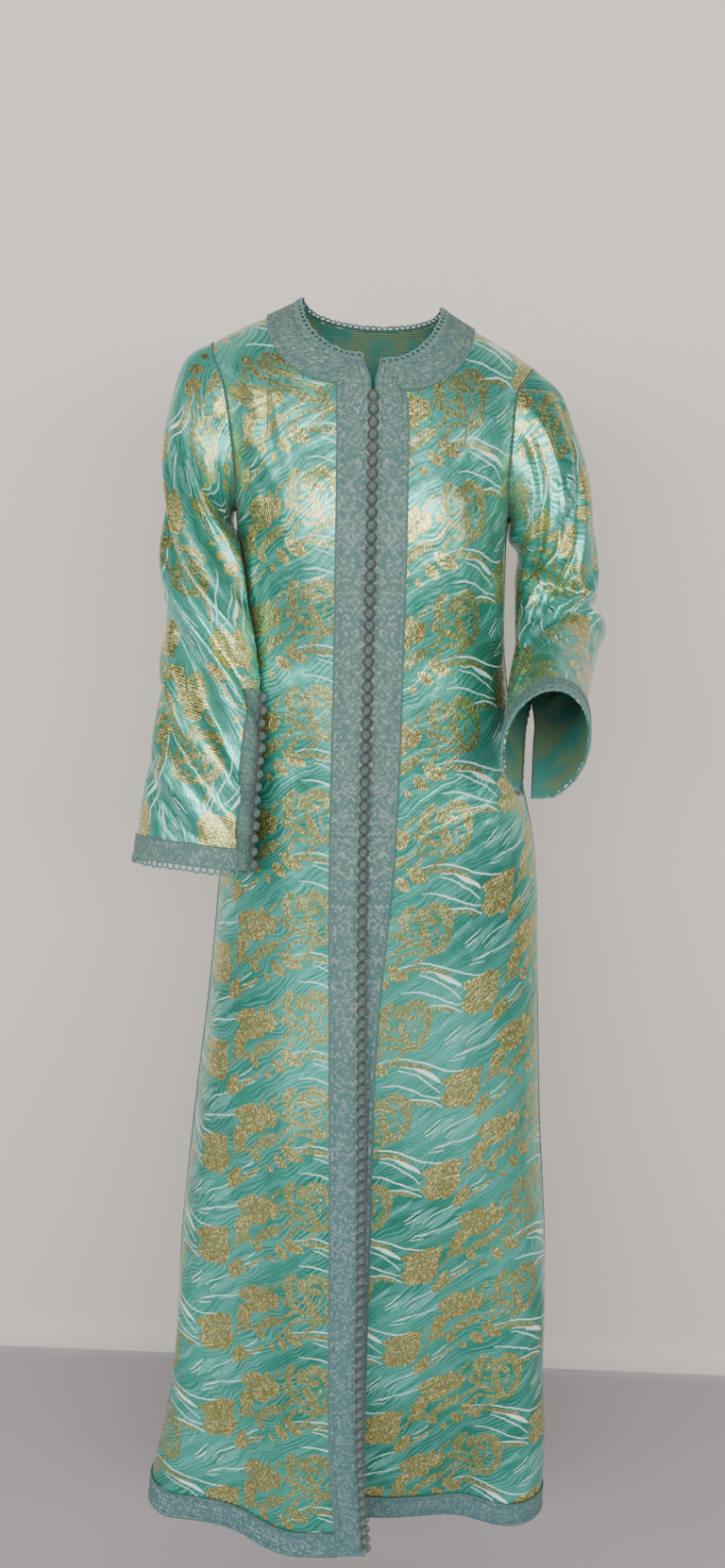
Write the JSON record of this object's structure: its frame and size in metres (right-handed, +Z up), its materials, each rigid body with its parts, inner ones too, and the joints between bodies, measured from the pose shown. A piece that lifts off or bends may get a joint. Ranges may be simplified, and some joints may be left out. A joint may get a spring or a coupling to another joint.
{
  "type": "moroccan kaftan",
  "caption": "Full-length brocade kaftan in its hollow worn form: round neck, braided open front closed by knot buttons, slit sleeves with braided cuffs.",
  "frame": {"origin": "midway between the two points where the shoulder seams meet the neck, where the wearer's shoulders carry the kaftan", "axes": "+Z up, -Y towards the front, +X towards the wearer's left"},
  "size_m": [0.5196, 0.3353, 1.4397],
  "materials": {
    "brocade": "satin brocade, aqua-turquoise with gold and white metallic motifs",
    "braid": "plaited grey-teal braid with silver thread",
    "knot_cord": "wound grey-teal cord"
  },
  "bodies": {
    "root": {"back": "brocade", "front_right": "brocade", "front_left": "brocade", "sleeve_right": "brocade", "sleeve_left": "brocade", "neck_braid": "braid", "front_braid_right": "braid", "front_braid_left": "braid", "hem_braid_right": "braid", "hem_braid_left": "braid", "hem_braid_back": "braid", "cuff_braid_right": "braid", "cuff_braid_left": "braid", "slit_braid_right_front": "braid", "slit_braid_right_back": "braid", "slit_braid_left_front": "braid", "slit_braid_left_back": "braid", "front_buttons_1": "knot_cord", "front_buttons_2": "knot_cord", "front_buttons_3": "knot_cord", "front_buttons_4": "knot_cord", "front_buttons_5": "knot_cord", "front_buttons_6": "knot_cord", "front_buttons_7": "knot_cord", "front_buttons_8": "knot_cord", "slit_buttons_right": "knot_cord", "slit_buttons_left": "knot_cord"}
  },
  "joints": []
}
